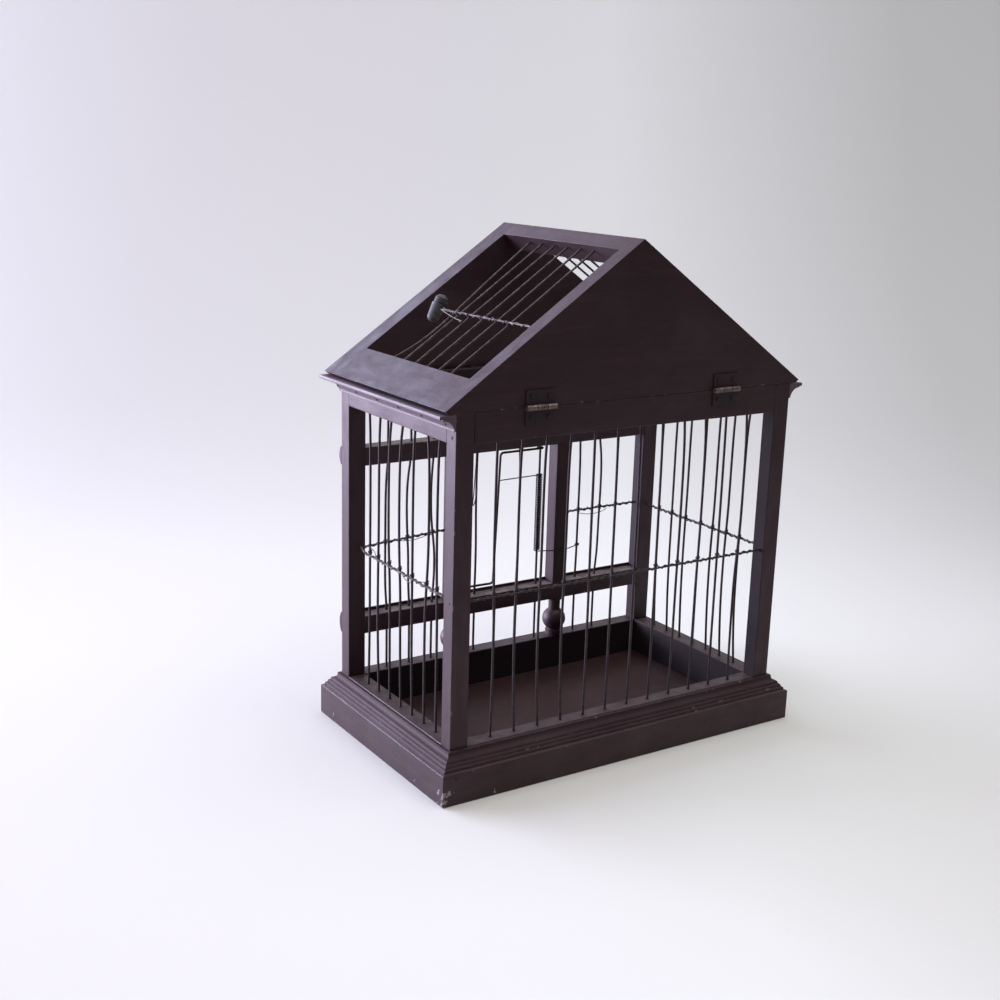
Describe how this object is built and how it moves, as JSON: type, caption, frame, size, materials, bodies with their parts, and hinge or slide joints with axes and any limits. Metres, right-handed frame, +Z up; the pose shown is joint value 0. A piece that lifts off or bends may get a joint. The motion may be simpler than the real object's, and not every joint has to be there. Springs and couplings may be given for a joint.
{
  "type": "bird cage",
  "caption": "House-shaped wooden bird cage with wire walls, a pitched roof hinged along its front edge, and a small sprung wire gate in the back wall.",
  "frame": {"origin": "on the surface that the cage stands on, under the middle of the plinth", "axes": "+X along the gabled front that carries the hinges, to the right as seen from the front; +Y from the front to the back wall with the gate; +Z up"},
  "size_m": [0.3408, 0.2034, 0.4055],
  "materials": {
    "dark_wood": "worn dark brown satin paint",
    "floor_wood": "plain brown stain",
    "dark_wire": "dark tarnished wire",
    "bind_wire": "dull bare wire",
    "worn_brass": "worn, mostly painted over"
  },
  "bodies": {
    "cage": {"floor_panel": "floor_wood", "plinth_front": "dark_wood", "plinth_back": "dark_wood", "plinth_left": "dark_wood", "plinth_right": "dark_wood", "bottom_rail_front": "dark_wood", "bottom_rail_back": "dark_wood", "bottom_rail_left": "dark_wood", "bottom_rail_right": "dark_wood", "post_front_left": "dark_wood", "post_front_right": "dark_wood", "post_back_left": "dark_wood", "post_back_right": "dark_wood", "top_rail_front": "dark_wood", "top_rail_back": "dark_wood", "top_rail_left": "dark_wood", "top_rail_right": "dark_wood", "cornice_left": "dark_wood", "cornice_right": "dark_wood", "cornice_back": "dark_wood", "back_upper_rail": "dark_wood", "back_lower_rail": "dark_wood", "back_upper_strip": "dark_wood", "back_lower_strip": "dark_wood", "door_post_left": "dark_wood", "door_post_right": "dark_wood", "turned_baluster_left": "dark_wood", "turned_baluster_right": "dark_wood", "front_wires": "dark_wire", "left_wires": "dark_wire", "right_wires": "dark_wire", "back_wires": "dark_wire", "door_pivot_wire": "dark_wire", "bind_wire_front": "bind_wire", "bind_wire_left": "bind_wire", "bind_wire_right": "bind_wire", "bind_wire_back_left": "bind_wire", "bind_wire_back_right": "bind_wire", "hinge_left_frame_leaf": "worn_brass", "hinge_right_frame_leaf": "worn_brass", "hinge_left_pin": "worn_brass", "hinge_right_pin": "worn_brass", "hinge_screws_frame": "worn_brass", "door_spring": "dark_wire"},
    "roof": {"gable_front": "dark_wood", "gable_back": "dark_wood", "eave_board_left": "dark_wood", "eave_board_right": "dark_wood", "ridge_board_left": "dark_wood", "ridge_board_right": "dark_wood", "roof_wires_left": "dark_wire", "roof_wires_right": "dark_wire", "roof_bind_wire_left": "bind_wire", "roof_bind_wire_right": "bind_wire", "roof_toggle": "dark_wood", "hinge_left_roof_leaf": "worn_brass", "hinge_right_roof_leaf": "worn_brass", "hinge_screws_roof": "worn_brass"},
    "gate": {"door_gate": "dark_wire"}
  },
  "joints": [
    {"name": "roof_hinge", "type": "hinge", "parent": "cage", "child": "roof", "pos_m": [0, -0.0907, 0.28865], "axis": [1, 0, 0], "range_deg": [0, 180]},
    {"name": "gate_hinge", "type": "hinge", "parent": "cage", "child": "gate", "pos_m": [0.03225, 0.082, 0.15], "axis": [0, 0, 1], "range_deg": [0, 100], "stiffness_Nm_per_rad": 0.004, "springref_deg": -34.38, "deforming": ["door_spring"]}
  ]
}
